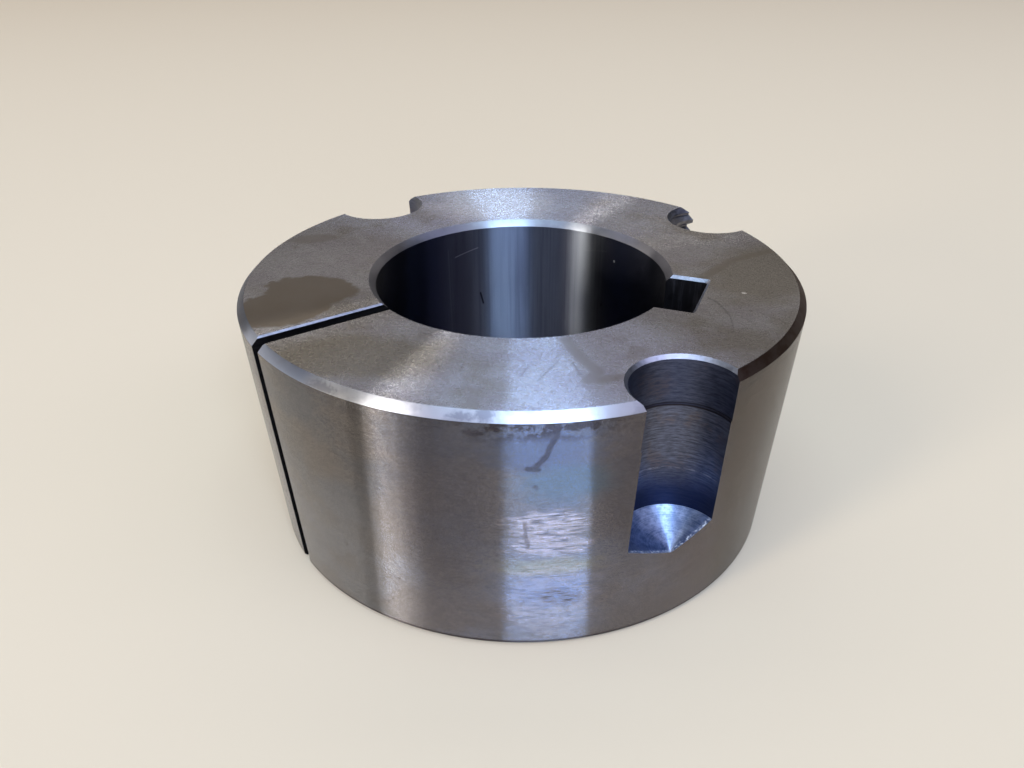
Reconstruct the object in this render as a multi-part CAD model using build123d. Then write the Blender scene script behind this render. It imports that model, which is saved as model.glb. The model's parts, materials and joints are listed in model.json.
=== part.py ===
from build123d import *
import math
import os

os.makedirs("parts", exist_ok=True)

# Split taper bush, millimetres. The bore runs along Z, the small end stands on z = 0,
# the large end is up and the keyway points along +X.

# taper body
large_diameter = 69.85        # 2 3/4 inch, on the rim just under the large end chamfer
bush_length = 31.75           # 1 1/4 inch
half_taper_angle = 4.0        # degrees each side, 8 degrees included
large_edge_chamfer = 0.9      # 45 degree chamfer round the large end
small_edge_chamfer = 0.5      # 45 degree chamfer round the small end

# bore and keyway
bore_diameter = 36.5125       # 1 7/16 inch
bore_edge_chamfer = 0.83      # both ends of the bore
keyway_width = 9.525          # 3/8 inch
keyway_floor_distance = 22.8  # bore axis to keyway floor
keyway_corner_radius = 0.4    # broach corner at each side of the floor
keyway_edge_break = 0.35      # 45 degree break round the keyway on both end faces

# split
slot_width = 1.8
slot_edge_break = 0.2         # 45 degree break along the slot on both end faces
slot_angle = -124.5           # degrees from +X, straight across from the jack hole

# half holes: each is drilled along the joint line, so half of it lies in the bush
hole_centre_radius = 33.3
jack_hole_angle = 55.5        # degrees from +X
screw_hole_spread = 95.1      # degrees each way from the jack hole to a screw hole

# screw half holes, plain and blind
screw_hole_radius = 5.72
screw_relief_radius = 5.85    # slightly wider top part
screw_relief_depth = 5.7
screw_hole_depth = 19.2       # large end to the start of the drill point
screw_point_angle = 140.0     # included angle of the drill point
screw_mouth_chamfer = 0.4

# jack half hole, tap drill size of a 7/16-14 thread, right through
jack_hole_radius = 4.67
jack_countersink_radius = 6.1
jack_countersink_angle = 90.0
jack_exit_chamfer = 0.5

cut_past = 2.0                # how far a cutter runs out past a face


def body_radius(z):
    """Radius of the taper at height z, chamfers left out."""
    rim_z = bush_length - large_edge_chamfer
    return large_diameter / 2 - (rim_z - z) * math.tan(math.radians(half_taper_angle))


def turned_body():
    """Taper body with its bore, turned from one profile so the chamfers are exact."""
    bore_radius = bore_diameter / 2
    small_radius = body_radius(small_edge_chamfer)
    large_radius = large_diameter / 2
    profile = Polyline(
        (bore_radius + bore_edge_chamfer, 0, 0),
        (small_radius - small_edge_chamfer, 0, 0),
        (small_radius, 0, small_edge_chamfer),
        (large_radius, 0, bush_length - large_edge_chamfer),
        (large_radius - large_edge_chamfer, 0, bush_length),
        (bore_radius + bore_edge_chamfer, 0, bush_length),
        (bore_radius, 0, bush_length - bore_edge_chamfer),
        (bore_radius, 0, bore_edge_chamfer),
        close=True,
    )
    return revolve(make_face(profile), axis=Axis.Z)


def through_cutter(profile, edge_break):
    """Straight cut right through the length, its edges broken at 45 degrees on both end faces."""
    straight = Pos(0, 0, -cut_past) * extrude(profile, bush_length + 2 * cut_past)
    flare = Pos(0, 0, bush_length - edge_break) * extrude(profile, edge_break + cut_past, taper=-45)
    return straight + flare + mirror(flare, Plane.XY.offset(bush_length / 2))


def keyway_cutter():
    """Broached keyway along +X with a small radius in both floor corners."""
    broach = Plane.XY * Pos(keyway_floor_distance / 2, 0) * Rectangle(keyway_floor_distance, keyway_width)
    floor_corners = broach.vertices().group_by(Axis.X)[-1]
    return through_cutter(fillet(floor_corners, keyway_corner_radius), keyway_edge_break)


def slot_cutter():
    """Saw cut through one side of the wall, from the bore out past the rim."""
    reach = large_diameter / 2 + cut_past
    saw = Plane.XY * Pos(reach / 2, 0) * Rectangle(reach, slot_width)
    return Rot(0, 0, slot_angle) * through_cutter(saw, slot_edge_break)


def turned_cutter(points):
    """Round cutter from (radius, height) pairs, listed from its axis and back to it."""
    return revolve(make_face(Polyline(*[(r, 0, z) for r, z in points], close=True)), axis=Axis.Z)


def at_joint_line(cutter, angle):
    """Set a round cutter on the circle of half holes."""
    return Rot(0, 0, angle) * Pos(hole_centre_radius, 0, 0) * cutter


def screw_hole_cutter():
    """Blind plain hole: broken mouth, relieved top part, drilled wall and drill point."""
    top = bush_length
    mouth_radius = screw_relief_radius + screw_mouth_chamfer
    wall_end = top - screw_hole_depth
    point_depth = screw_hole_radius / math.tan(math.radians(screw_point_angle / 2))
    return turned_cutter([
        (0, top + cut_past),
        (mouth_radius, top + cut_past),
        (mouth_radius, top),
        (screw_relief_radius, top - screw_mouth_chamfer),
        (screw_relief_radius, top - screw_relief_depth),
        (screw_hole_radius, top - screw_relief_depth),
        (screw_hole_radius, wall_end),
        (0, wall_end - point_depth),
    ])


def jack_hole_cutter():
    """Through hole at tap drill size: countersunk mouth and a broken exit edge."""
    top = bush_length
    sink_depth = (jack_countersink_radius - jack_hole_radius) / math.tan(math.radians(jack_countersink_angle / 2))
    return turned_cutter([
        (0, top + cut_past),
        (jack_countersink_radius, top + cut_past),
        (jack_countersink_radius, top),
        (jack_hole_radius, top - sink_depth),
        (jack_hole_radius, jack_exit_chamfer),
        (jack_hole_radius + jack_exit_chamfer, 0),
        (jack_hole_radius + jack_exit_chamfer, -cut_past),
        (0, -cut_past),
    ])


bush = turned_body() - keyway_cutter() - slot_cutter()
for side in (-1, 1):
    bush -= at_joint_line(screw_hole_cutter(), jack_hole_angle + side * screw_hole_spread)
bush -= at_joint_line(jack_hole_cutter(), jack_hole_angle)

taper_bush = bush.solids()[0]
export_step(taper_bush, "parts/taper_bush.step")
print("taper_bush", len(bush.solids()), "solid,", round(taper_bush.volume / 1000, 2), "cm3")
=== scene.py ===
import json
import math

import bmesh
import bpy
from mathutils import Matrix, Vector


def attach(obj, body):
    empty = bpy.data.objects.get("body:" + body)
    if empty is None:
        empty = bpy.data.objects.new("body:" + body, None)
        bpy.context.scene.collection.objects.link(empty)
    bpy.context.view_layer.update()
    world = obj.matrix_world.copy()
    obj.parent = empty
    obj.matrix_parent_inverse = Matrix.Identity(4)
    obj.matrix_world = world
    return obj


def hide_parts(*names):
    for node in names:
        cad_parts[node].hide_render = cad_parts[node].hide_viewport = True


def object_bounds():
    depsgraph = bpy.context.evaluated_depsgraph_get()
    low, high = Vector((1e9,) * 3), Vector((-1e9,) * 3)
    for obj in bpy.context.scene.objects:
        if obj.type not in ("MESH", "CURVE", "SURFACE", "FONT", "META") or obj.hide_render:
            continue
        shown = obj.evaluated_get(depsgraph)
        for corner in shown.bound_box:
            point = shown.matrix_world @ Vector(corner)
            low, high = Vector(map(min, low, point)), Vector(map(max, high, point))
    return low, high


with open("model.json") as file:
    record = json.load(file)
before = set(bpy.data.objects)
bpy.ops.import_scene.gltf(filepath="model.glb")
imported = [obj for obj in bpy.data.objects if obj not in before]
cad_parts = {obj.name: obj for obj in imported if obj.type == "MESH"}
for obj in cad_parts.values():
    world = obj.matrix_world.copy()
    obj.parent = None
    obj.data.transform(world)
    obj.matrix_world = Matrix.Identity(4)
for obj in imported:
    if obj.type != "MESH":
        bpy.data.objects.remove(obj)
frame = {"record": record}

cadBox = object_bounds()
mounts = {mount["name"]: mount for mount in frame["record"]["mounts"]}
mm = 0.001


def compass(azimuth):
    turn = math.radians(azimuth)
    return Vector((math.cos(turn), math.sin(turn), 0.0))


class Wire:  # a shader socket that can stand in a sum
    def __init__(self, paint, socket):
        self.paint = paint
        self.socket = socket

    def math(self, operation, *others):
        return self.paint.node("ShaderNodeMath", {"operation": operation}, [self, *others])

    def reflected(self, operation, first):
        return self.paint.node("ShaderNodeMath", {"operation": operation}, [first, self])

    def __add__(self, other):
        return self.math("ADD", other)

    def __radd__(self, other):
        return self.math("ADD", other)

    def __sub__(self, other):
        return self.math("SUBTRACT", other)

    def __rsub__(self, other):
        return self.reflected("SUBTRACT", other)

    def __mul__(self, other):
        return self.math("MULTIPLY", other)

    def __rmul__(self, other):
        return self.math("MULTIPLY", other)

    def __truediv__(self, other):
        return self.math("DIVIDE", other)

    def __rtruediv__(self, other):
        return self.reflected("DIVIDE", other)

    def __pow__(self, other):
        return self.math("POWER", other)

    def __abs__(self):
        return self.math("ABSOLUTE")

    def atLeast(self, other):
        return self.math("MAXIMUM", other)

    def ramp(self, low, high):  # 0 below low, 1 above high, smooth between
        return self.paint.node("ShaderNodeMapRange", {"interpolation_type": "SMOOTHSTEP"},
                               {"Value": self, "From Min": low, "From Max": high})

    def fade(self, low, high):  # 1 below low, 0 above high
        return 1.0 - self.ramp(low, high)

    def above(self, low, high, strength):  # how strongly a coat shows where the pattern is high
        return self.ramp(low, high) * strength

    def below(self, low, high, strength):  # how strongly it shows where the pattern is low
        return self.fade(low, high) * strength

    def swing(self, reach):  # a noise from 0..1 moved round zero
        return (self - 0.5) * reach


brush = {
    "spotSoft": 0.12,  # how far an oval's edge blurs, as a share of its size
    "strokeCore": 0.25,  # shares of a stroke's width at which it starts to fade and is gone
    "strokeGone": 0.75,
    "grooveTurn": 0.25,  # of a full turn, so that light draws out across the turned grooves
}


class Paint:  # one material and its nodes, lengths in millimetres
    def __init__(self, name):
        self.material = bpy.data.materials.new(name)
        self.material.use_nodes = True
        self.tree = self.material.node_tree
        self.tree.nodes.clear()
        self.output = self.tree.nodes.new("ShaderNodeOutputMaterial")
        metres = self.node("ShaderNodeTexCoord", {}, {}, "Object")
        point = self.node("ShaderNodeVectorMath", {"operation": "SCALE"},
                          {"Vector": metres, "Scale": 1.0 / mm}, "Vector")
        axes = self.nodeOnly("ShaderNodeSeparateXYZ", {}, {"Vector": point})
        self.x, self.y, self.z = [Wire(self, socket) for socket in axes.outputs]
        self.radius = (self.x * self.x + self.y * self.y) ** 0.5
        self.azimuth = self.y.math("ARCTAN2", self.x) * math.degrees(1.0)

    def nodeOnly(self, kind, settings, inputs):
        made = self.tree.nodes.new(kind)
        for key, value in settings.items():
            setattr(made, key, value)
        pairs = enumerate(inputs) if isinstance(inputs, list) else inputs.items()
        for key, value in pairs:
            self.feed(made.inputs[key], value)
        return made

    def node(self, kind, settings, inputs, output=0):
        return Wire(self, self.nodeOnly(kind, settings, inputs).outputs[output])

    def feed(self, target, value):
        if isinstance(value, Wire):
            self.tree.links.new(value.socket, target)
        else:
            target.default_value = value

    def noise(self, steps, detail=3.0, roughness=0.55):  # steps: how many turns a millimetre in x, y, z
        scaled = [axis * step for axis, step in zip((self.x, self.y, self.z), steps)]
        place = self.node("ShaderNodeCombineXYZ", {}, scaled)
        return self.node("ShaderNodeTexNoise", {},
                         {"Vector": place, "Scale": 1.0, "Detail": detail, "Roughness": roughness})

    def rings(self, distance, steps, detail=3.0, roughness=0.6):  # uneven rings or lines
        return self.node("ShaderNodeTexNoise", {"noise_dimensions": "1D"},
                         {"W": distance * steps, "Scale": 1.0, "Detail": detail, "Roughness": roughness})

    def blend(self, mask, first, second):  # from the first colour to the second as the mask rises
        made = self.nodeOnly("ShaderNodeMix", {"data_type": "RGBA"}, {})
        sockets = {socket.identifier: socket for socket in made.inputs}
        self.feed(sockets["Factor_Float"], mask)
        self.feed(sockets["A_Color"], first if isinstance(first, Wire) else (*first, 1.0))
        self.feed(sockets["B_Color"], second if isinstance(second, Wire) else (*second, 1.0))
        return Wire(self, next(socket for socket in made.outputs if socket.identifier == "Result_Color"))

    def spot(self, across, along, mark, ragged=0.0, soft=brush["spotSoft"]):  # 1 inside an oval, 0 outside
        (middleX, middleY), (halfX, halfY), turn = mark
        cosine, sine = math.cos(math.radians(turn)), math.sin(math.radians(turn))
        rightward, upward = across - middleX, along - middleY
        u = (rightward * cosine + upward * sine) / halfX
        v = (upward * cosine - rightward * sine) / halfY
        return ((u * u + v * v) ** 0.5 + ragged).fade(1.0 - soft, 1.0 + soft)

    def spots(self, across, along, marks, ragged=0.0, soft=brush["spotSoft"]):
        drawn = self.spot(across, along, marks[0], ragged, soft)
        for mark in marks[1:]:
            drawn = drawn.atLeast(self.spot(across, along, mark, ragged, soft))
        return drawn

    def stroke(self, across, along, start, end, width):  # 1 on a straight scratch, 0 beside it
        length = math.hypot(end[0] - start[0], end[1] - start[1])
        stepX, stepY = (end[0] - start[0]) / length, (end[1] - start[1]) / length
        rightward, upward = across - start[0], along - start[1]
        beyond = (abs(rightward * stepX + upward * stepY - length / 2) - length / 2).atLeast(0.0)
        aside = upward * stepX - rightward * stepY
        distance = (beyond * beyond + aside * aside) ** 0.5
        return distance.fade(width * brush["strokeCore"], width * brush["strokeGone"])

    def strokes(self, across, along, path, width):  # a bent scratch or stain line
        runs = [self.stroke(across, along, start, end, width) for start, end in zip(path[:-1], path[1:])]
        drawn = runs[0]
        for run in runs[1:]:
            drawn = drawn.atLeast(run)
        return drawn

    def scatter(self, reach, power):  # lean of fine grooves up to reach, most lean less at a high power
        place = self.z + self.radius  # the same all round one groove
        lean = self.node("ShaderNodeTexWhiteNoise", {"noise_dimensions": "1D"}, {"W": place})
        lean = lean * 2.0 - 1.0
        return lean * abs(lean) ** (power - 1.0) * reach

    def grooved(self, across, lean):  # the surface leaning to and fro across its turned grooves
        turned = self.node("ShaderNodeVectorMath", {"operation": "SCALE"},
                           {"Vector": across, "Scale": lean}, "Vector")
        normal = self.node("ShaderNodeNewGeometry", {}, {}, "Normal")
        both = self.node("ShaderNodeVectorMath", {"operation": "ADD"}, [normal, turned])
        return self.node("ShaderNodeVectorMath", {"operation": "NORMALIZE"}, [both])

    def bump(self, height, depth, under=None):  # height 0..1, depth in millimetres
        inputs = {"Height": height, "Strength": 1.0, "Distance": depth * mm}
        if under is not None:
            inputs["Normal"] = under
        return self.node("ShaderNodeBump", {}, inputs)

    def metal(self, colour, roughness, normal, anisotropic=0.0, metallic=1.0, specular=0.5):
        turn = brush["grooveTurn"] if anisotropic else 0.0
        inputs = {"Base Color": colour, "Roughness": roughness, "Metallic": metallic,
                  "Specular IOR Level": specular, "Anisotropic": anisotropic, "Anisotropic Rotation": turn}
        if normal is not None:
            inputs["Normal"] = normal
        shader = self.node("ShaderNodeBsdfPrincipled", {}, inputs)
        self.tree.links.new(shader.socket, self.output.inputs["Surface"])
        return self.material


studio = {  # metres and degrees, the lens and its sensor in millimetres
    "floorColour": (0.68, 0.53, 0.335),
    "floorRoughness": 0.9,
    "floorSpecular": 0.1,
    "floorSize": 6.0,
    "worldColour": (0.80, 0.82, 0.86),
    "worldStrength": 0.06,
    "lens": 30.86,
    "sensorWidth": 36.0,
    "clipStart": 0.005,
    "cameraAzimuth": -69.0,
    "cameraDistance": 0.10359,
    "cameraHeight": 0.07474,
    "cameraForward": (-0.01026, 0.86635, -0.49933),  # in a frame whose +Y runs away from the camera
    "cameraUp": (0.00325, 0.49939, 0.86634),
}

lamps = {  # azimuth, elevation and spread in degrees as seen from the bush, distance in metres
    "window": {"azimuth": -58.5, "elevation": 34.0, "distance": 2.0, "wide": 29.0, "high": 18.0,
               "radiance": 22.0, "colour": (0.42, 0.62, 1.0)},
    "lowWindow": {"azimuth": -58.5, "elevation": 8.0, "distance": 2.0, "wide": 28.0, "high": 13.0,
                  "radiance": 10.0, "colour": (0.38, 0.54, 1.0)},
    "wideFill": {"azimuth": -53.0, "elevation": 54.0, "distance": 2.1, "wide": 120.0, "high": 26.0,
                 "radiance": 2.8, "colour": (0.62, 0.65, 1.0)},
    "lowSide": {"azimuth": -121.0, "elevation": 10.0, "distance": 2.0, "wide": 13.0, "high": 18.0,
                "radiance": 12.5, "colour": (1.0, 0.98, 0.95)},
    "lowSideCore": {"azimuth": -121.5, "elevation": 10.0, "distance": 1.9, "wide": 5.0, "high": 18.0,
                    "radiance": 12.0, "colour": (1.0, 1.0, 1.0)},
    "highSide": {"azimuth": -119.5, "elevation": 35.0, "distance": 2.0, "wide": 10.0, "high": 20.0,
                 "radiance": 8.0, "colour": (1.0, 0.98, 0.95)},
    "lowLeft": {"azimuth": -164.0, "elevation": 8.0, "distance": 2.0, "wide": 60.0, "high": 14.0,
                "radiance": 4.5, "colour": (1.0, 0.94, 0.84)},
    "ceiling": {"azimuth": -69.0, "elevation": 82.0, "distance": 1.2, "wide": 40.0, "high": 30.0,
                "radiance": 2.9, "colour": (0.48, 0.71, 1.0)},
    "backTop": {"azimuth": 111.0, "elevation": 65.0, "distance": 1.5, "wide": 80.0, "high": 20.0,
                "radiance": 1.5, "colour": (0.67, 0.76, 1.0)},
    "backPanel": {"azimuth": 111.0, "elevation": 36.0, "distance": 1.5, "wide": 80.0, "high": 42.0,
                  "radiance": 0.45, "colour": (1.0, 0.93, 0.88)},
}


def makeFloor():
    bm = bmesh.new()
    bmesh.ops.create_grid(bm, x_segments=1, y_segments=1, size=studio["floorSize"] / 2)
    mesh = bpy.data.meshes.new("floor")
    bm.to_mesh(mesh)
    bm.free()
    floor = bpy.data.objects.new("floor", mesh)
    bpy.context.scene.collection.objects.link(floor)
    paint = Paint("paleFloor")
    mesh.materials.append(paint.metal((*studio["floorColour"], 1.0), studio["floorRoughness"], None,
                                      metallic=0.0, specular=studio["floorSpecular"]))


def makeWorld():
    world = bpy.data.worlds.new("studioWorld")
    bpy.context.scene.world = world
    world.use_nodes = True
    background = world.node_tree.nodes["Background"]
    background.inputs["Color"].default_value = (*studio["worldColour"], 1.0)
    background.inputs["Strength"].default_value = studio["worldStrength"]


def makeLamps():
    for name, lamp in lamps.items():
        data = bpy.data.lights.new(name, "AREA")
        data.shape = "RECTANGLE"
        data.size = 2 * lamp["distance"] * math.tan(math.radians(lamp["wide"] / 2))
        data.size_y = 2 * lamp["distance"] * math.tan(math.radians(lamp["high"] / 2))
        data.energy = lamp["radiance"] * math.pi * data.size * data.size_y
        data.color = lamp["colour"]
        rise = math.radians(lamp["elevation"])
        away = compass(lamp["azimuth"]) * math.cos(rise) + Vector((0, 0, math.sin(rise)))
        made = bpy.data.objects.new(name, data)
        made.location = away * lamp["distance"]
        made.rotation_euler = away.to_track_quat("Z", "Y").to_euler()
        bpy.context.scene.collection.objects.link(made)


def makeCamera():
    data = bpy.data.cameras.new("camera")
    data.lens = studio["lens"]
    data.sensor_width = studio["sensorWidth"]
    data.clip_start = studio["clipStart"]
    camera = bpy.data.objects.new("camera", data)
    turn = Matrix.Rotation(math.radians(studio["cameraAzimuth"] + 90.0), 3, "Z")  # from the camera's frame
    forward = turn @ Vector(studio["cameraForward"])
    up = turn @ Vector(studio["cameraUp"])
    right = forward.cross(up).normalized()
    up = right.cross(forward).normalized()
    place = compass(studio["cameraAzimuth"]) * studio["cameraDistance"]
    place.z = studio["cameraHeight"]
    axes = Matrix((right, up, -forward.normalized())).transposed()
    camera.matrix_world = Matrix.Translation(place) @ axes.to_4x4()
    bpy.context.scene.collection.objects.link(camera)
    bpy.context.scene.camera = camera


bush = {  # millimetres and degrees
    "rimRadius": 34.925,
    "halfTaper": 4.0,
    "rimChamfer": 0.9,
    "smallChamfer": 0.5,
    "boreChamfer": 0.83,
    "cornerRadius": 0.09,
    "cornerSegments": 2,
    "bodySteps": 360,
    "keywayWidth": 9.525,
    "keywayCorner": 0.4,
    "keywaySegments": 5,
    "keywayBreak": 0.35,
    "slotWidth": 1.8,
    "slotBreak": 0.2,
    "screwRadius": 5.72,
    "reliefRadius": 5.85,
    "reliefDepth": 5.7,
    "reliefStep": 0.1,
    "screwDepth": 19.2,
    "pointAngle": 140.0,
    "mouthChamfer": 0.4,
    "threadMinor": 4.67,
    "threadMajor": 5.556,
    "threadPitch": 25.4 / 14,
    "threadSpare": 5,  # turns of thread past the two ends together
    "countersink": 6.1,
    "countersinkPast": 0.5,
    "tapLead": 1.6,
    "tapLeadPast": 0.2,
    "cutPast": 2.0,  # how far a cutter reaches past the steel
    "holeSteps": 96,
    "mergeWithin": 0.0005,
    "threadMergeWithin": 0.002,
    "flat": 0.95,  # upright share of a side's normal from which it counts as flat, sloped or level
    "sloped": 0.3,
    "slightlySloped": 0.1,
    "level": 0.99,
    "sharpFrom": 25.0,  # edges that turn by more than this stay crisp
}
bush["length"] = (cadBox[1][2] - cadBox[0][2]) / mm
bush["boreRadius"] = mounts["shaft_bore"]["dims"]["r_mm"]


def taperRadius(z):
    drop = bush["length"] - bush["rimChamfer"] - z
    return bush["rimRadius"] - drop * math.tan(math.radians(bush["halfTaper"]))


def objectFrom(bm, name, materials):
    bmesh.ops.recalc_face_normals(bm, faces=bm.faces[:])
    mesh = bpy.data.meshes.new(name)
    bm.to_mesh(mesh)
    bm.free()
    for material in materials:
        mesh.materials.append(material)
    made = bpy.data.objects.new(name, mesh)
    bpy.context.scene.collection.objects.link(made)
    return made


def chain(bm, corners, centre, closed=False):  # radius and height pairs as a wire beside the axis
    places = [bm.verts.new((centre.x + r * mm, centre.y, z * mm)) for r, z in corners]
    ends = places[1:] + places[:1] if closed else places[1:]
    edges = [bm.edges.new(pair) for pair in zip(places, ends)]
    return places + edges


def spun(bm, corners, centre, steps, closed=False):
    bmesh.ops.spin(bm, geom=chain(bm, corners, centre, closed), cent=centre, axis=(0, 0, 1),
                   angle=2 * math.pi, steps=steps, use_merge=True, use_duplicate=False)
    bmesh.ops.remove_doubles(bm, verts=bm.verts[:], dist=bush["mergeWithin"] * mm)


def roundedProfile(corners):  # corner list with every corner rounded by a small radius
    bm = bmesh.new()
    bm.faces.new([bm.verts.new((r, 0, z)) for r, z in corners])
    bmesh.ops.bevel(bm, geom=bm.verts[:], offset=bush["cornerRadius"], segments=bush["cornerSegments"],
                    profile=0.5, affect="VERTICES", material=-1)
    bm.faces.ensure_lookup_table()
    points = [(loop.vert.co.x, loop.vert.co.z) for loop in bm.faces[0].loops]
    bm.free()
    return points


def cutAway(body, cutter):
    boolean = body.modifiers.new("cut", "BOOLEAN")
    boolean.operation = "DIFFERENCE"
    boolean.solver = "EXACT"
    boolean.material_mode = "TRANSFER"
    boolean.object = cutter
    bpy.context.view_layer.update()
    shown = body.evaluated_get(bpy.context.evaluated_depsgraph_get())
    cut = bpy.data.meshes.new_from_object(shown)
    body.modifiers.clear()
    body.data = cut
    bpy.data.objects.remove(cutter, do_unlink=True)


def turnedBody(looks):
    small = taperRadius(bush["smallChamfer"])
    wall = bush["boreRadius"]
    top = bush["length"]
    corners = roundedProfile([
        (wall + bush["boreChamfer"], 0),
        (small - bush["smallChamfer"], 0),
        (small, bush["smallChamfer"]),
        (bush["rimRadius"], top - bush["rimChamfer"]),
        (bush["rimRadius"] - bush["rimChamfer"], top),
        (wall + bush["boreChamfer"], top),
        (wall, top - bush["boreChamfer"]),
        (wall, bush["boreChamfer"]),
    ])
    bm = bmesh.new()
    spun(bm, corners, Vector((0, 0, 0)), bush["bodySteps"], True)
    bmesh.ops.recalc_face_normals(bm, faces=bm.faces[:])
    finishes = ["face", "taper", "chamfer", "bore"]
    for side in bm.faces:
        middle = side.calc_center_median()
        outward = Vector((middle.x, middle.y, 0)).normalized().dot(side.normal)
        if abs(side.normal.z) > bush["flat"]:
            finish = "face"
        elif abs(side.normal.z) > bush["sloped"]:
            finish = "chamfer"
        else:
            finish = "taper" if outward > 0 else "bore"
        side.material_index = finishes.index(finish)
    return objectFrom(bm, "taper_bush_turned", [looks[finish] for finish in finishes])


def screwCutter(centre, looks):
    top = bush["length"]
    mouth = bush["reliefRadius"] + bush["mouthChamfer"]
    reliefEnd = top - bush["reliefDepth"]
    wallEnd = top - bush["screwDepth"]
    point = bush["screwRadius"] / math.tan(math.radians(bush["pointAngle"] / 2))
    bm = bmesh.new()
    spun(bm, [
        (0, top + bush["cutPast"]),
        (mouth, top + bush["cutPast"]),
        (mouth, top),
        (bush["reliefRadius"], top - bush["mouthChamfer"]),
        (bush["reliefRadius"], reliefEnd),
        (bush["screwRadius"], reliefEnd - bush["reliefStep"]),
        (bush["screwRadius"], wallEnd),
        (0, wallEnd - point),
    ], centre, bush["holeSteps"])
    finishes = ["wall", "point", "edge"]
    for side in bm.faces:
        height = side.calc_center_median().z / mm
        finish = "point" if height < wallEnd else "wall"
        if height > top - bush["mouthChamfer"]:
            finish = "edge"
        side.material_index = finishes.index(finish)
    return objectFrom(bm, "screwCutter", [looks[finish] for finish in finishes])


def threadCutter(centre, look):
    pitch = bush["threadPitch"]
    root, crest = pitch / 8, pitch / 4  # the flats of a sixty-degree thread
    flank = (pitch - root - crest) / 2
    turns = int(bush["length"] / pitch) + bush["threadSpare"]
    start = -pitch * bush["threadSpare"] / 2
    corners = []
    for turn in range(turns):
        z = start + turn * pitch
        corners += [(bush["threadMajor"], z),
                    (bush["threadMajor"], z + root),
                    (bush["threadMinor"], z + root + flank),
                    (bush["threadMinor"], z + root + flank + crest)]
    corners.append((bush["threadMajor"], start + turns * pitch))
    steps = bush["holeSteps"]
    bm = bmesh.new()
    bmesh.ops.spin(bm, geom=chain(bm, corners, centre), cent=centre, axis=(0, 0, 1), angle=2 * math.pi,
                   dvec=(0, 0, pitch * mm / steps), steps=steps, use_merge=False, use_duplicate=False)
    bmesh.ops.remove_doubles(bm, verts=bm.verts[:], dist=bush["threadMergeWithin"] * mm)
    bmesh.ops.holes_fill(bm, edges=[edge for edge in bm.edges if edge.is_boundary], sides=0)
    return objectFrom(bm, "threadCutter", [look])


def mouthCutter(centre, corners, look):
    bm = bmesh.new()
    spun(bm, corners, centre, bush["holeSteps"])
    return objectFrom(bm, "mouthCutter", [look])


def throughCutter(reach, half, corner, broken, turn, wallLook, edgeLook):
    # straight cut from the axis outwards, its edges broken at 45 degrees on both end faces
    bm = bmesh.new()
    bmesh.ops.create_cube(bm, size=mm)
    bmesh.ops.scale(bm, vec=(reach, 2 * half, bush["length"] - 2 * broken), verts=bm.verts[:])
    bmesh.ops.translate(bm, vec=(reach * mm / 2, 0, bush["length"] * mm / 2), verts=bm.verts[:])
    if corner:
        floorEdges = [edge for edge in bm.edges
                      if all(vert.co.x > reach * mm / 2 for vert in edge.verts)
                      and edge.calc_length() > bush["length"] * mm / 2]
        bmesh.ops.bevel(bm, geom=floorEdges, offset=corner * mm, segments=bush["keywaySegments"],
                        profile=0.5, affect="EDGES", material=-1)
    bm.normal_update()
    grow = broken + bush["cutPast"]
    for facing in (1, -1):
        end = [side for side in bm.faces if side.normal.z * facing > bush["level"]]
        made = bmesh.ops.extrude_face_region(bm, geom=end)["geom"]
        moved = [part for part in made if isinstance(part, bmesh.types.BMVert)]
        bmesh.ops.delete(bm, geom=end, context="FACES_ONLY")
        bmesh.ops.translate(bm, vec=(0, 0, facing * grow * mm), verts=moved)
        bmesh.ops.scale(bm, vec=((reach + grow) / reach, (half + grow) / half, 1), verts=moved)
        bm.normal_update()
    for side in bm.faces:
        side.material_index = 1 if bush["slightlySloped"] < abs(side.normal.z) < bush["flat"] else 0
    turned = Matrix.Rotation(math.radians(turn), 3, "Z")
    bmesh.ops.rotate(bm, cent=(0, 0, 0), matrix=turned, verts=bm.verts[:])
    return objectFrom(bm, "throughCutter", [wallLook, edgeLook])


def makeBush(looks):
    top = bush["length"]
    past = bush["cutPast"]
    body = turnedBody(looks)
    print("bush: turned body", len(body.data.polygons), "faces")
    keywayFloor = mounts["keyway"]["pos_m"][0] / mm
    cutAway(body, throughCutter(keywayFloor, bush["keywayWidth"] / 2, bush["keywayCorner"],
                                bush["keywayBreak"], 0.0, looks["keyway"], looks["edge"]))
    jack = Vector(mounts["jack_half_hole"]["pos_m"])
    slotTurn = math.degrees(math.atan2(jack.y, jack.x)) + 180.0
    cutAway(body, throughCutter(bush["rimRadius"] + past, bush["slotWidth"] / 2, 0.0,
                                bush["slotBreak"], slotTurn, looks["slot"], looks["edge"]))
    for side in ("a", "b"):
        centre = Vector(mounts["screw_half_hole_" + side]["pos_m"])
        centre.z = 0.0
        cutAway(body, screwCutter(centre, looks))
    centre = Vector((jack.x, jack.y, 0.0))
    cutAway(body, threadCutter(centre, looks["thread"]))
    sink = bush["countersink"]
    deep = sink - bush["threadMinor"] + bush["countersinkPast"]
    cutAway(body, mouthCutter(centre, [(0, top + past), (sink, top + past), (sink, top),
                                       (sink - deep, top - deep), (0, top - deep)], looks["thread"]))
    lead = bush["tapLead"]
    wide = bush["threadMajor"] + bush["tapLeadPast"]
    cutAway(body, mouthCutter(centre, [(0, -past), (wide, -past), (wide, 0),
                                       (wide - lead, lead), (0, lead)], looks["thread"]))
    print("bush: cut", len(body.data.polygons), "faces")
    mesh = body.data
    mesh.shade_smooth()
    mesh.set_sharp_from_angle(angle=math.radians(bush["sharpFrom"]))
    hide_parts("taper_bush")
    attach(body, "root")


# In the finishes below a noise is its steps a millimetre in x, y and z, then its detail and roughness.
# Where a coat shows is the noise it starts at, the noise it is full at, and its strength.
# A mark is its middle, its half sizes and its turn in degrees, and a path is its corners.

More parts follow.
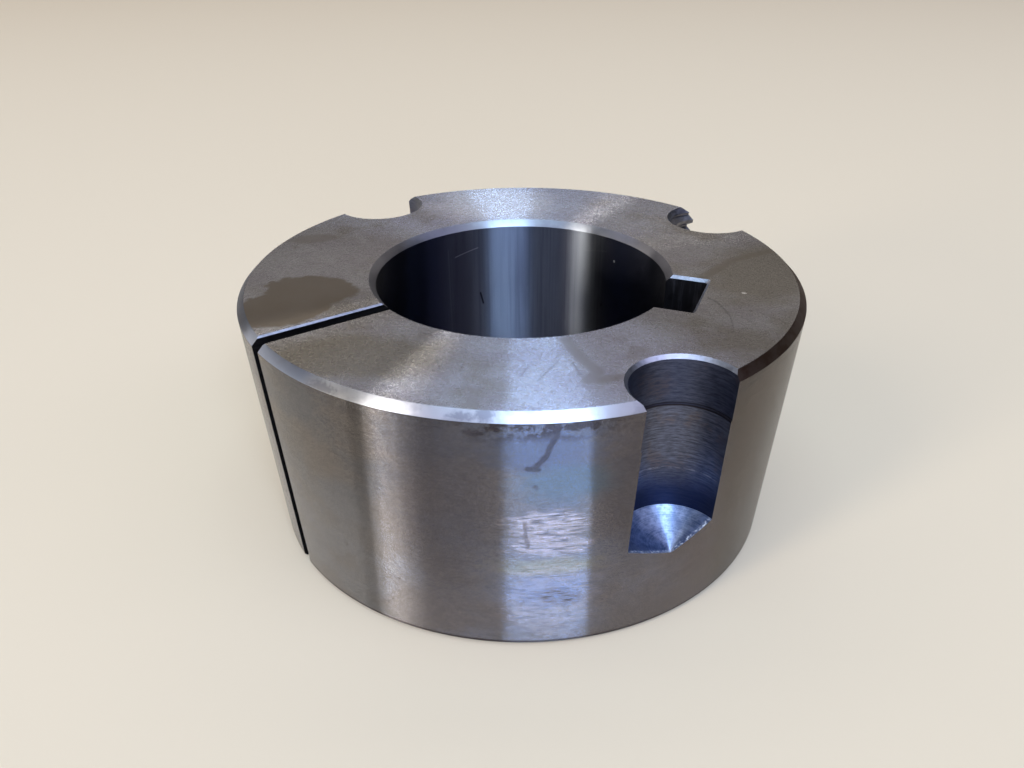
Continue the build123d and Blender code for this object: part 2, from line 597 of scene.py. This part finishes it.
face = {
    "clean": (0.42, 0.415, 0.435),
    # colour of painted highlights on the back of the face
    "paintedHighlight": (0.62, 0.58, 0.55),
    "film": (0.285, 0.262, 0.228),
    "olive": (0.215, 0.175, 0.13),
    "violet": (0.335, 0.31, 0.345),
    "scratch": (0.07, 0.065, 0.07),
    "fleck": (0.95, 0.95, 0.92),
    "roughness": 0.27,
    "unevenRoughness": 0.12,
    "oliveRoughness": 0.05,
    "lean": 2.2,
    "leanPower": 5.0,
    "depth": 0.003,
    "scratchDepth": 4.0,  # as a share of depth
    "marked": (0.3, 0.6),  # shares of the length between which the top face's marks begin
    "cloud": ((0.11, 0.11, 0.11), 4.0),
    "haze": ((0.24, 0.24, 0.24), 4.0, 0.6),
    "mottle": ((1.3, 1.3, 1.3), 4.0, 0.65),
    "swell": ((1.3, 1.3, 1.3), 1.0),
    "ragged": ((0.35, 0.35, 0.35), 2.0),
    "raggedReach": 0.7,
    "turnedLines": 5.0,
    "hazeViolet": (0.4, 0.62, 0.5),
    "cloudFilm": (0.5, 0.66, 0.7),
    "mottleFilm": (0.5, 0.75, 0.3),
    "lineFilm": (0.55, 0.75, 0.14),
    # painted highlights: two light patches on the back of the face, where its wedge of light falls
    "paintedHighlightPatch": ((-13.5, 23.0), (8.5, 8.0), 30.0),
    "faintHighlightPatch": ((4.0, 28.0), (14.0, 7.0), 0.0),
    "rubbedStrength": 0.12,
    "patchSoft": 0.45,
    "filmPatches": [((29.0, 10.0), (7.0, 11.0), -15.0), ((-8.0, -27.8), (10.5, 5.0), 20.0)],
    "filmSoft": 0.4,
    "oliveStains": [((-21.4, -14.9), (5.6, 4.6), 8.0), ((-22.0, -20.4), (6.2, 4.8), 50.0)],
    "oliveStrength": 0.9,
    "oliveSoft": 0.06,
    "oliveRagged": 0.7,
    "oliveFineRagged": 0.35,
    "faintStain": ((-31.0, 0.2), (3.3, 1.6), 35.0),
    "faintStrength": 0.45,
    "faintSoft": 0.35,
    "faintFineRagged": 0.6,
    "dryLines": [[(22.2, 5.8), (24.3, 12.2), (28.6, 17.4)],
                 [(11.5, -16.6), (14.7, -20.3), (16.8, -22.0), (16.3, -24.2)],
                 [(16.3, -24.2), (19.0, -22.4), (23.0, -21.0)]],
    "dryWidth": 1.3,
    "dryStrength": 0.5,
    "scratches": [[(0.2, -25.0), (1.6, -27.1)], [(3.3, -24.8), (3.7, -26.8)], [(9.8, -23.3), (9.8, -25.7)],
                  [(12.3, -21.4), (11.7, -26.0)], [(13.8, -21.1), (15.3, -23.2)],
                  [(23.8, -0.3), (25.0, -1.2), (25.9, -2.5), (27.0, -4.4), (27.7, -6.8)],
                  [(-11.6, 26.9), (-9.6, 26.2)], [(-8.7, 26.4), (-8.1, 25.8)]],
    "scratchWidth": 0.16,
    "scratchStrength": 0.38,
    "speck": ((27.5, 2.5), (0.3, 0.22), 0.0),
    "ring": ((30.6, 3.4), (1.5, 1.5), 0.0),
    "ringSoft": 0.3,
    "ringStrength": 0.15,
}


def faceLook():
    paint = Paint("turnedFace")
    x, y = paint.x, paint.y
    onTop = paint.z.ramp(*[share * bush["length"] for share in face["marked"]])
    cloud = paint.noise(*face["cloud"])
    haze = paint.noise(*face["haze"])
    mottle = paint.noise(*face["mottle"])
    ragged = paint.noise(*face["ragged"]).swing(face["raggedReach"])
    turned = paint.rings(paint.radius, face["turnedLines"])
    # painted highlights on the back of the face, the second patch fainter
    paintedHighlight = paint.spot(x, y, face["paintedHighlightPatch"], ragged, face["patchSoft"])
    rubbed = paint.spot(x, y, face["faintHighlightPatch"], ragged, face["patchSoft"])
    paintedHighlight = paintedHighlight.atLeast(rubbed * face["rubbedStrength"]) * onTop
    film = paint.spots(x, y, face["filmPatches"], ragged, face["filmSoft"]) * onTop
    film = film.atLeast(cloud.above(*face["cloudFilm"]))
    oliveEdge = ragged * face["oliveRagged"] + mottle.swing(face["oliveFineRagged"])
    olive = paint.spots(x, y, face["oliveStains"], oliveEdge, face["oliveSoft"])
    faintEdge = ragged + mottle.swing(face["faintFineRagged"])
    faint = paint.spot(x, y, face["faintStain"], faintEdge, face["faintSoft"])
    olive = olive.atLeast(faint * face["faintStrength"])
    for path in face["dryLines"]:
        olive = olive.atLeast(paint.strokes(x, y, path, face["dryWidth"]) * face["dryStrength"])
    scratched = paint.spot(x, y, face["ring"], ragged, face["ringSoft"]) * face["ringStrength"]
    for path in face["scratches"]:
        scratched = scratched.atLeast(paint.strokes(x, y, path, face["scratchWidth"]))
    speck = paint.spot(x, y, face["speck"]) * onTop
    colour = paint.blend(haze.above(*face["hazeViolet"]), face["clean"], face["violet"])
    colour = paint.blend(film, colour, face["film"])
    colour = paint.blend(paintedHighlight, colour, face["paintedHighlight"])
    colour = paint.blend(olive * onTop * face["oliveStrength"], colour, face["olive"])
    fineFilm = mottle.above(*face["mottleFilm"]) + turned.above(*face["lineFilm"])
    colour = paint.blend(fineFilm, colour, face["film"])
    colour = paint.blend(scratched * onTop * face["scratchStrength"], colour, face["scratch"])
    colour = paint.blend(speck, colour, face["fleck"])
    uneven = mottle.swing(face["unevenRoughness"])
    rough = face["roughness"] + uneven + olive * onTop * face["oliveRoughness"]
    outward = paint.node("ShaderNodeCombineXYZ", {}, [x / paint.radius, y / paint.radius, 0.0])
    grooves = paint.grooved(outward, paint.scatter(face["lean"], face["leanPower"]))
    relief = paint.noise(*face["swell"]) - scratched * onTop * face["scratchDepth"]
    return paint.metal(colour, rough, paint.bump(relief, face["depth"], grooves), 1.0)


taper = {  # marks and paths lie along the surface round the bush and up it, in millimetres
    # from the top colour to a lighter one at the foot: painted light, a band of light brightening
    # downwards
    "top": (0.122, 0.125, 0.138),
    "paintedLightFoot": (0.215, 0.218, 0.24),
    "warm": (0.185, 0.160, 0.138),
    # colour of a painted brown reflection on the right side of the cone
    "paintedBrownReflection": (0.118, 0.092, 0.076),
    # colour of painted shade between the cone's bands of light
    "paintedShade": (0.085, 0.08, 0.085),
    "rubbed": (0.45, 0.365, 0.335),
    # colour of grime and stains, also of the painted shade along the foot
    "grimeAndPaintedShade": (0.045, 0.035, 0.035),
    "paintedLightFade": (9.0, 27.0),
    "roughness": 0.17,
    "unevenRoughness": 0.1,
    "lean": 1.5,
    "leanPower": 2.1,
    "feed": (3.0, 4.0, 0.7),
    "feedLean": 0.5,
    "depth": 0.006,
    "mottleDepth": 0.5,
    "stainDepth": 0.2,
    "degree": 0.602,  # millimetres of surface to one degree round the bush
    "cloud": ((0.10, 0.10, 0.14), 4.0),
    "mottle": ((2.0, 2.0, 2.6), 4.0, 0.65),
    "dashes": ((0.6, 0.6, 4.6), 4.0, 0.7),
    "ragged": ((0.5, 0.5, 1.4), 3.0),
    "raggedReach": 1.3,
    "speckle": ((5.0, 5.0, 7.0), 2.0, 0.7),
    "cloudWarm": (0.40, 0.62, 0.6),
    "mottleGrime": (0.45, 0.72, 0.2),
    "mottleRubbed": (0.3, 0.48, 0.1),
    "speckleGrime": (0.45, 0.7, 0.34),
    "speckleRubbed": (0.3, 0.46, 0.12),
    # painted shade: two dark patches between the cone's bands of light
    "paintedShadePatches": [((-50.2, 20.0), (5.0, 12.0), 0.0), ((-29.0, 21.0), (4.0, 9.0), 0.0)],
    "paintedShadeSoft": 0.6,
    "paintedShadeStrength": 0.6,
    # painted reflection: a soft brown patch over the right side of the cone
    "brownReflectionPatch": ((-4.0, 16.0), (21.0, 26.0), 0.0),
    "brownReflectionSoft": 0.5,
    "brownReflectionStrength": 0.8,
    "broadRagged": 0.3,
    "tints": [((0.11, 0.125, 0.165), ((-39.0, 27.6), (5.5, 2.6), 0.0)),
              ((0.11, 0.145, 0.165), ((-37.2, 23.4), (4.6, 2.2), 0.0)),
              ((0.25, 0.235, 0.165), ((-38.6, 12.2), (5.5, 1.2), 0.0)),
              ((0.15, 0.19, 0.27), ((-38.6, 8.6), (5.5, 2.2), 0.0))],
    "tintSoft": 0.5,
    "tintStrength": 0.65,
    "rubbedPatches": [((-38.8, 18.0), (4.1, 1.9), 0.0), ((-38.6, 15.4), (4.2, 1.7), 0.0)],
    "rubbedStrength": 0.78,
    "lowerRubs": ((-38.4, 7.4), (5.4, 5.6), 0.0),
    "lowerStrength": 0.4,
    "rubbedSoft": 0.3,
    "rubbedDashes": (0.34, 0.64),
    "grimeDashes": (0.36, 0.44),
    "grimeInRubs": 0.35,
    "grimeElsewhere": 0.08,
    "drips": [[(-38.0, 30.6), (-38.3, 29.4), (-39.2, 27.0), (-40.2, 25.5)],
              [(-40.9, 25.5), (-40.0, 25.4)]],
    "dripRagged": 0.5,
    "dripWidth": 0.62,
    "dripStrength": 0.65,
    "faintDrips": [[(-40.2, 23.3), (-40.0, 23.1)], [(-41.2, 18.5), (-40.9, 15.0)]],
    "faintDripRagged": 0.6,
    "faintDripWidth": 0.45,
    "faintDripStrength": 0.4,
    "pits": [((-55.9, 7.9), (0.13, 0.13), 0.0), ((-58.0, 3.4), (0.16, 0.12), 0.0),
             ((-57.3, 4.1), (0.10, 0.14), 0.0), ((-63.1, 10.0), (0.13, 0.13), 0.0)],
    "smear": ((-37.4, 7.6), (2.6, 1.1), -15.0),
    "smearRagged": 0.5,
    "smearSoft": 0.4,
    "smearDashes": (0.46, 0.6),
    "smearStrength": 0.8,
    "rimGrime": ((0.6, 0.6, 0.8), 4.0, 0.7),
    "rimGrimeFrom": (28.2, 30.0),
    "rimGrimeShows": (0.46, 0.55),
    "rimGrimeAllRound": 0.2,
    "rimStains": ((-40.0, 30.0), (7.0, 7.0), 0.0),
    "rimStainRagged": 0.2,
    "rimStainSoft": 0.3,
    "rimStainStrength": 0.6,
    # painted shade: a dark line along the foot where the cone meets the floor
    "footShadeLine": (0.65, 0.95, 0.9),
}


def taperLook():
    paint = Paint("turnedTaper")
    arc, z = paint.azimuth * taper["degree"], paint.z
    cloud = paint.noise(*taper["cloud"])
    mottle = paint.noise(*taper["mottle"])
    dashes = paint.noise(*taper["dashes"])
    speckle = paint.noise(*taper["speckle"])
    ragged = paint.noise(*taper["ragged"]).swing(taper["raggedReach"])
    broadRagged = ragged * taper["broadRagged"]
    # painted shade between the cone's bands of light
    paintedShade = paint.spots(arc, z, taper["paintedShadePatches"], broadRagged, taper["paintedShadeSoft"])
    # painted reflection, brown, on the right side of the cone
    paintedBrownReflection = paint.spot(arc, z, taper["brownReflectionPatch"], broadRagged, taper["brownReflectionSoft"])
    # painted light: the cone lighter towards its foot, standing in for its band of light brightening
    # downwards
    colour = paint.blend(z.fade(*taper["paintedLightFade"]), taper["top"], taper["paintedLightFoot"])
    colour = paint.blend(cloud.above(*taper["cloudWarm"]), colour, taper["warm"])
    colour = paint.blend(mottle.above(*taper["mottleGrime"]), colour, taper["grimeAndPaintedShade"])
    colour = paint.blend(mottle.below(*taper["mottleRubbed"]), colour, taper["rubbed"])
    colour = paint.blend(paintedShade * taper["paintedShadeStrength"], colour, taper["paintedShade"])
    colour = paint.blend(paintedBrownReflection * taper["brownReflectionStrength"], colour, taper["paintedBrownReflection"])
    colour = paint.blend(speckle.above(*taper["speckleGrime"]), colour, taper["grimeAndPaintedShade"])
    colour = paint.blend(speckle.below(*taper["speckleRubbed"]), colour, taper["rubbed"])
    for tint, mark in taper["tints"]:
        tinted = paint.spot(arc, z, mark, ragged, taper["tintSoft"])
        colour = paint.blend(tinted * taper["tintStrength"], colour, tint)
    lower = paint.spot(arc, z, taper["lowerRubs"], ragged, taper["rubbedSoft"])
    rubbed = paint.spots(arc, z, taper["rubbedPatches"], ragged, taper["rubbedSoft"])
    rubbed = (lower * taper["lowerStrength"]).atLeast(rubbed * taper["rubbedStrength"])
    colour = paint.blend(rubbed * dashes.ramp(*taper["rubbedDashes"]), colour, taper["rubbed"])
    grimy = rubbed * taper["grimeInRubs"] + taper["grimeElsewhere"]
    colour = paint.blend(grimy * dashes.fade(*taper["grimeDashes"]), colour, taper["grimeAndPaintedShade"])
    stainAndPaintedShade = paint.spots(arc, z, taper["pits"])
    for path in taper["drips"]:
        drip = paint.strokes(arc + ragged * taper["dripRagged"], z, path, taper["dripWidth"])
        stainAndPaintedShade = stainAndPaintedShade.atLeast(drip * taper["dripStrength"])
    for path in taper["faintDrips"]:
        drip = paint.strokes(arc + ragged * taper["faintDripRagged"], z, path, taper["faintDripWidth"])
        stainAndPaintedShade = stainAndPaintedShade.atLeast(drip * taper["faintDripStrength"])
    smear = paint.spot(arc, z, taper["smear"], ragged * taper["smearRagged"], taper["smearSoft"])
    smear = smear * dashes.ramp(*taper["smearDashes"])
    rimGrime = paint.noise(*taper["rimGrime"]).ramp(*taper["rimGrimeShows"])
    rimEdge = ragged * taper["rimStainRagged"]
    rimStain = paint.spot(arc, z, taper["rimStains"], rimEdge, taper["rimStainSoft"])
    rimShare = taper["rimGrimeAllRound"] + rimStain * taper["rimStainStrength"]
    underRim = z.ramp(*taper["rimGrimeFrom"]) * rimGrime * rimShare
    stainAndPaintedShade = stainAndPaintedShade.atLeast(smear * taper["smearStrength"]).atLeast(underRim)
    # painted shade along the foot, added to the real stains
    stainAndPaintedShade = stainAndPaintedShade.atLeast(z.below(*taper["footShadeLine"]))
    colour = paint.blend(stainAndPaintedShade, colour, taper["grimeAndPaintedShade"])
    rough = taper["roughness"] + mottle.swing(taper["unevenRoughness"])
    relief = mottle * taper["mottleDepth"] - stainAndPaintedShade * taper["stainDepth"]
    feed = paint.rings(z, *taper["feed"]).swing(taper["feedLean"])
    lean = paint.scatter(taper["lean"], taper["leanPower"]) + feed
    normal = paint.bump(relief, taper["depth"], paint.grooved((0.0, 0.0, 1.0), lean))
    return paint.metal(colour, rough, normal, 1.0)


chamfer = {  # azimuths in degrees
    "bright": (0.56, 0.55, 0.55),
    "innerEdge": (0.40, 0.41, 0.41),
    # colour of painted shade on the inner chamfer away from the side facing the camera
    "innerShade": (0.25, 0.245, 0.285),
    "scuffed": (0.16, 0.16, 0.19),
    # colour of painted shade on the left of the rim chamfer, darker and bluish
    "leftShade": (0.155, 0.185, 0.27),
    # colour of the rim stain, also of the painted shade along the foot
    "stainAndPaintedShade": (0.078, 0.042, 0.030),
    "roughness": 0.37,
    "unevenRoughness": 0.14,
    "stainedRoughness": 0.2,
    "depth": 0.006,
    "cloud": ((0.35, 0.35, 0.6), 4.0, 0.6),
    "fine": ((2.2, 2.2, 2.2), 3.0, 0.6),
    "swell": ((1.6, 1.6, 1.6), 1.0),
    "rimFrom": (32.5, 33.5),  # radius and height at which the outer chamfer of the large end begins
    "rimAbove": (20.0, 25.0),
    "brightInside": 108.0,
    "innerShadeFrom": (20.0, 45.0, 0.85),  # degrees to either side of brightInside at which the inner chamfer's painted shade begins and is full, and its strength
    # painted shade: the left part of the rim chamfer darker and bluish, between these azimuths
    "leftShadeFrom": (-165.0, -157.0),
    "leftShadeTo": (-110.0, -101.0),
    "leftShadeStrength": 0.9,
    "cloudWorn": (0.46, 0.66, 0.3),
    "scuffs": [((-74.8, 31.4), (1.6, 0.5), 0.0), ((-78.5, 31.2), (2.0, 0.3), 0.0),
               ((-104.0, 31.1), (3.0, 0.4), 0.0)],
    "scuffRagged": 2.2,
    "scuffSoft": 0.5,
    "scuffStrength": 0.6,
    "stainedFrom": (-38.0, -32.0),
    "stainedTo": (22.0, 42.0),
    "stainedStrength": 0.93,
    "stainedCloud": (0.4, 0.6, 0.07),
    # painted shade: a dark line along the foot of the bottom chamfer
    "footShadeLine": (0.6, 0.9),
    "footShadeFrom": (24.0, 25.0, 0.9),
}


def chamferLook():
    paint = Paint("turnedChamfer")
    azimuth, z = paint.azimuth, paint.z
    cloud = paint.noise(*chamfer["cloud"])
    fine = paint.noise(*chamfer["fine"])
    onRim = paint.radius.ramp(*chamfer["rimFrom"]) * z.ramp(*chamfer["rimAbove"])
    # painted shade: the inner chamfer darker away from the azimuth where it faces the camera
    paintedShade = abs(azimuth - chamfer["brightInside"]).above(*chamfer["innerShadeFrom"])
    # painted shade on the left part of the rim chamfer
    leftShade = azimuth.ramp(*chamfer["leftShadeFrom"]) * azimuth.fade(*chamfer["leftShadeTo"]) * onRim
    worn = cloud.above(*chamfer["cloudWorn"])
    for mark in chamfer["scuffs"]:
        scuff = paint.spot(azimuth, z, mark, fine.swing(chamfer["scuffRagged"]), chamfer["scuffSoft"])
        worn = worn.atLeast(scuff * chamfer["scuffStrength"])
    stainAndPaintedShade = azimuth.ramp(*chamfer["stainedFrom"]) * azimuth.fade(*chamfer["stainedTo"]) * onRim
    stainAndPaintedShade = stainAndPaintedShade * (chamfer["stainedStrength"] + cloud.above(*chamfer["stainedCloud"]))
    # painted shade along the foot of the bottom chamfer, added to the rim stain
    stainAndPaintedShade = stainAndPaintedShade.atLeast(z.fade(*chamfer["footShadeLine"]) * paint.radius.above(*chamfer["footShadeFrom"]))
    colour = paint.blend(paintedShade, chamfer["innerEdge"], chamfer["innerShade"])
    colour = paint.blend(onRim, colour, chamfer["bright"])
    colour = paint.blend(leftShade * chamfer["leftShadeStrength"], colour, chamfer["leftShade"])
    colour = paint.blend(worn, colour, chamfer["scuffed"])
    colour = paint.blend(stainAndPaintedShade, colour, chamfer["stainAndPaintedShade"])
    uneven = fine.swing(chamfer["unevenRoughness"])
    rough = chamfer["roughness"] + uneven + stainAndPaintedShade * chamfer["stainedRoughness"]
    return paint.metal(colour, rough, paint.bump(paint.noise(*chamfer["swell"]), chamfer["depth"]), 1.0)


bore = {  # marks and paths lie round the bore and up it, in millimetres
    "bored": (0.088, 0.090, 0.101),
    "dull": (0.05, 0.05, 0.062),
    # light colour of two painted highlights, strips where the bore's bands of light fall
    "worn": (0.17, 0.178, 0.187),
    # near black: the colour of painted shade on the bore beside its bands of light
    "boreShade": (0.012, 0.014, 0.028),
    "scored": (0.5, 0.5, 0.5),
    "nicked": (0.01, 0.01, 0.012),
    "roughness": 0.34,
    "unevenRoughness": 0.1,
    "scoredRoughness": 0.25,
    "lean": 1.0,
    "leanPower": 1.0,
    "degree": 0.3186,  # millimetres of surface to one degree round the bore
    "cloud": ((0.3, 0.3, 0.03), 2.0),
    "grain": ((0.08, 0.08, 6.0), 3.0, 0.6),
    "streaks": ((3.0, 3.0, 0.05), 3.0, 0.6),
    "cloudDull": (0.4, 0.65, 0.7),
    "streakDull": (0.42, 0.68, 0.5),
    # painted highlights: two light strips up the whole bore, where its bands of light fall
    "highlightStrip": ((25.6, 16.0), (2.0, 40.0), 0.0),
    "highlightSoft": 0.6,
    "faintHighlightStrip": ((38.7, 16.0), (1.9, 40.0), 0.0),
    "rubbedSoft": 0.7,
    "rubbedStrength": 0.3,
    "stripRagged": 0.8,
    "boreShadePast": (23.5, 45.5),  # painted shade beyond these places round the bore
    "boreShadeFade": (-3.5, 4.0),
    "boreShadeSide": 111.0,  # the azimuth whose half of the bore takes the painted shade
    "boreShadeSideFade": (-9.0, -1.0),
    "boreShadeStrength": 0.9,
    "scores": [[(45.3, 27.2), (41.7, 28.1)]],
    "scoreStrength": 0.27,
    "faintScores": [[(46.4, 28.5), (46.3, 12.0)], [(22.0, 28.8), (25.5, 28.2)]],
    "faintStrength": 0.05,
    "scoreWidth": 0.12,
    "speck": ((20.6, 27.7), (0.16, 0.2), 0.0),
    "speckStrength": 0.8,
    "nicks": [[(41.5, 20.9), (41.1, 19.2)], [(22.5, 20.5), (22.6, 20.3)]],
    "nickWidth": 0.25,
}


def boreLook():
    paint = Paint("boredWall")
    arc, z = paint.azimuth * bore["degree"], paint.z
    cloud = paint.noise(*bore["cloud"])
    grain = paint.noise(*bore["grain"])
    streaks = paint.noise(*bore["streaks"])
    ragged = streaks.swing(bore["stripRagged"])
    # painted highlights: two light strips where the bore's bands of light fall
    worn = paint.spot(arc, z, bore["highlightStrip"], ragged, bore["highlightSoft"])
    rubbed = paint.spot(arc, z, bore["faintHighlightStrip"], ragged, bore["rubbedSoft"]) * bore["rubbedStrength"]
    # painted shade: the back half of the bore darkened beyond the places where its bands of light fall
    start, end = bore["boreShadePast"]
    past = abs(arc - (start + end) / 2) - (end - start) / 2
    side = compass(bore["boreShadeSide"])
    onSide = (paint.x * side.x + paint.y * side.y).ramp(*bore["boreShadeSideFade"])
    boreShade = past.ramp(*bore["boreShadeFade"]) * onSide * bore["boreShadeStrength"]
    scored = paint.spot(arc, z, bore["speck"]) * bore["speckStrength"]
    for path in bore["scores"]:
        scored = scored.atLeast(paint.strokes(arc, z, path, bore["scoreWidth"]) * bore["scoreStrength"])
    for path in bore["faintScores"]:
        scored = scored.atLeast(paint.strokes(arc, z, path, bore["scoreWidth"]) * bore["faintStrength"])
    nicks = [paint.strokes(arc, z, path, bore["nickWidth"]) for path in bore["nicks"]]
    nicked = nicks[0].atLeast(nicks[1])
    colour = paint.blend(cloud.above(*bore["cloudDull"]), bore["bored"], bore["dull"])
    colour = paint.blend(streaks.above(*bore["streakDull"]), colour, bore["dull"])
    colour = paint.blend(worn, colour, bore["worn"])
    colour = paint.blend(rubbed, colour, bore["worn"])
    colour = paint.blend(boreShade, colour, bore["boreShade"])
    colour = paint.blend(scored, colour, bore["scored"])
    colour = paint.blend(nicked, colour, bore["nicked"])
    uneven = grain.swing(bore["unevenRoughness"]) + cloud.swing(bore["unevenRoughness"])
    rough = bore["roughness"] + uneven + scored * bore["scoredRoughness"]
    grooves = paint.grooved((0.0, 0.0, 1.0), paint.scatter(bore["lean"], bore["leanPower"]))
    return paint.metal(colour, rough, grooves, 1.0)


screwHole = {  # the two blind half holes, heights in millimetres
    "dark": (0.045, 0.047, 0.06),
    "slate": (0.19, 0.20, 0.255),
    "rusty": (0.15, 0.095, 0.055),
    "lightRing": (0.4, 0.4, 0.42),
    "shaded": (0.013, 0.020, 0.052),
    # colour of painted shade in the corner under the step
    "corner": (0.018, 0.014, 0.015),
    "roughness": 0.42,
    "unevenRoughness": 0.2,
    "depth": 0.015,
    "lineShare": 0.45,  # of that depth, and the rest is the broken surface
    "lines": (3.6, 4.0, 0.7),
    "lineTilt": 0.02,
    "lineSlate": (0.3, 0.7, 0.3),
    "broken": ((0.9, 0.9, 6.5), 4.0, 0.7),
    "brokenSlate": (0.3, 0.7, 0.6),
    "cloud": ((0.3, 0.3, 0.3), 3.0),
    "cloudRust": (0.5, 0.62),
    "brokenRust": (0.4, 0.6, 0.45),
    "lightMarks": [17.75],  # heights of rings the drill left bright
    "lightHalf": (0.05, 0.13),
    "lightBroken": (0.46, 0.56),
    "lightStrength": 0.5,
    "shadedAbove": (1.5, 7.5, 0.9),  # above the hole's point
    "shadedMouth": (-0.3, 0.0, 0.5),  # beside the step under the mouth
    # painted shade: a dark line in the corner under the step
    "cornerShadeBelow": 0.1,
    "cornerShadeHalf": (0.12, 0.3, 0.9),
}


def wallLook():
    paint = Paint("drilledWall")
    z = paint.z
    reliefEnd = bush["length"] - bush["reliefDepth"]
    wallEnd = bush["length"] - bush["screwDepth"]
    lines = paint.rings(z + paint.x * screwHole["lineTilt"], *screwHole["lines"])
    broken = paint.noise(*screwHole["broken"])
    cloud = paint.noise(*screwHole["cloud"])
    slate = lines.above(*screwHole["lineSlate"]) + broken.above(*screwHole["brokenSlate"])
    colour = paint.blend(slate, screwHole["dark"], screwHole["slate"])
    rust = cloud.ramp(*screwHole["cloudRust"]) * broken.above(*screwHole["brokenRust"])
    colour = paint.blend(rust, colour, screwHole["rusty"])
    for height in screwHole["lightMarks"]:
        mark = abs(z - height).fade(*screwHole["lightHalf"]) * broken.ramp(*screwHole["lightBroken"])
        colour = paint.blend(mark * screwHole["lightStrength"], colour, screwHole["lightRing"])
    deep = (z - wallEnd).below(*screwHole["shadedAbove"])
    shallow = (z - reliefEnd).above(*screwHole["shadedMouth"])
    # painted shade in the corner under the step
    corner = abs(z - reliefEnd + screwHole["cornerShadeBelow"]).below(*screwHole["cornerShadeHalf"])
    colour = paint.blend(deep.atLeast(shallow), colour, screwHole["shaded"])
    colour = paint.blend(corner, colour, screwHole["corner"])
    rough = screwHole["roughness"] + broken.swing(screwHole["unevenRoughness"])
    relief = lines * screwHole["lineShare"] + broken * (1.0 - screwHole["lineShare"])
    return paint.metal(colour, rough, paint.bump(relief, screwHole["depth"]))


drillPoint = {  # the cone that the drill left at the bottom of each blind half hole
    "bright": (0.66, 0.74, 0.88),
    "dull": (0.10, 0.15, 0.27),
    "burr": (0.95, 0.95, 0.95),
    "roughness": 0.30,
    "burrRoughness": 0.35,
    "lean": 1.3,
    "leanPower": 1.0,
    "rings": (6.0, 3.0, 0.6),
    "ringLean": 0.4,
    "blotches": ((1.3, 1.3, 1.3), 4.0, 0.7),
    "grit": ((4.0, 4.0, 4.0), 2.0),
    "shine": 0.2,
    "ringShine": (0.35, 0.65, 0.2),
    "blotchShine": (0.36, 0.64, 0.4),
    "burrNear": (-0.6, -0.25),  # millimetres to the taper's surface
    "burrGrit": (0.5, 0.58),
}


def pointLook():
    paint = Paint("drillPoint")
    places = [Vector(mounts["screw_half_hole_" + side]["pos_m"]) / mm for side in ("a", "b")]
    step = places[0] - places[1]
    nearFirst = (paint.x * step.x + paint.y * step.y).ramp(-1.0, 1.0)  # 0 beside the second hole
    across = paint.x - places[1].x - nearFirst * step.x
    along = paint.y - places[1].y - nearFirst * step.y
    distance = (across * across + along * along) ** 0.5
    outward = paint.node("ShaderNodeCombineXYZ", {}, [across / distance, along / distance, 0.0])
    rings = paint.rings(distance, *drillPoint["rings"])
    grit = paint.noise(*drillPoint["grit"])
    blotches = paint.noise(*drillPoint["blotches"])
    lip = paint.radius - (paint.z * math.tan(math.radians(bush["halfTaper"])) + taperRadius(0.0))
    burr = lip.ramp(*drillPoint["burrNear"]) * grit.ramp(*drillPoint["burrGrit"])
    shine = rings.above(*drillPoint["ringShine"]) + blotches.above(*drillPoint["blotchShine"])
    colour = paint.blend(shine + drillPoint["shine"], drillPoint["dull"], drillPoint["bright"])
    colour = paint.blend(burr, colour, drillPoint["burr"])
    lean = paint.scatter(drillPoint["lean"], drillPoint["leanPower"]) + rings.swing(drillPoint["ringLean"])
    rough = drillPoint["roughness"] + burr * drillPoint["burrRoughness"]
    return paint.metal(colour, rough, paint.grooved(outward, lean))


cuts = {
    "edge": {"name": "brokenEdge", "colour": (0.38, 0.38, 0.40), "roughness": 0.34,
             "lines": (2.5, 2.5, 2.5), "depth": 0.03, "bright": 1.1},
    # painted shade: the keyway's and the slot's walls drawn near black, their steel no darker than
    # elsewhere
    "keyway": {"name": "broachedKeyway", "colour": (0.018, 0.018, 0.021), "roughness": 0.45,
               "lines": (2.0, 6.0, 0.15), "depth": 0.02, "bright": 3.0},
    "slot": {"name": "sawnSlot", "colour": (0.012, 0.010, 0.009), "roughness": 0.6,
             "lines": (0.1, 0.1, 5.0), "depth": 0.02, "bright": 2.5},
    "thread": {"name": "tappedThread", "colour": (0.13, 0.125, 0.135), "roughness": 0.38,
               "lines": (0.8, 0.8, 2.5), "depth": 0.01, "bright": 2.0},
}

cutFinish = {  # what the four cuts share
    "lineDetail": (3.0, 0.6),
    "lineBright": (0.45, 0.7, 0.6),
    "patches": ((0.9, 0.9, 0.9), 3.0),
    "patchDull": (0.5, 0.7, 0.5),
    "dull": 0.45,
    "unevenRoughness": 0.2,
}


def cutLook(cut):
    paint = Paint(cut["name"])
    lines = paint.noise(cut["lines"], *cutFinish["lineDetail"])
    patches = paint.noise(*cutFinish["patches"])
    bright = [value * cut["bright"] for value in cut["colour"]]
    dull = [value * cutFinish["dull"] for value in cut["colour"]]
    colour = paint.blend(lines.above(*cutFinish["lineBright"]), cut["colour"], bright)
    colour = paint.blend(patches.above(*cutFinish["patchDull"]), colour, dull)
    rough = cut["roughness"] + lines.swing(cutFinish["unevenRoughness"])
    return paint.metal(colour, rough, paint.bump(lines, cut["depth"]))


def makeLooks():
    looks = {"face": faceLook(), "taper": taperLook(), "chamfer": chamferLook(),
             "bore": boreLook(), "wall": wallLook(), "point": pointLook()}
    for name, cut in cuts.items():
        looks[name] = cutLook(cut)
    print("finishes:", len(looks), "materials")
    return looks


bpy.context.scene.view_settings.view_transform = "Standard"
makeWorld()
makeLamps()
makeCamera()
makeFloor()
print("studio: done")
makeBush(makeLooks())
print("bush: done")
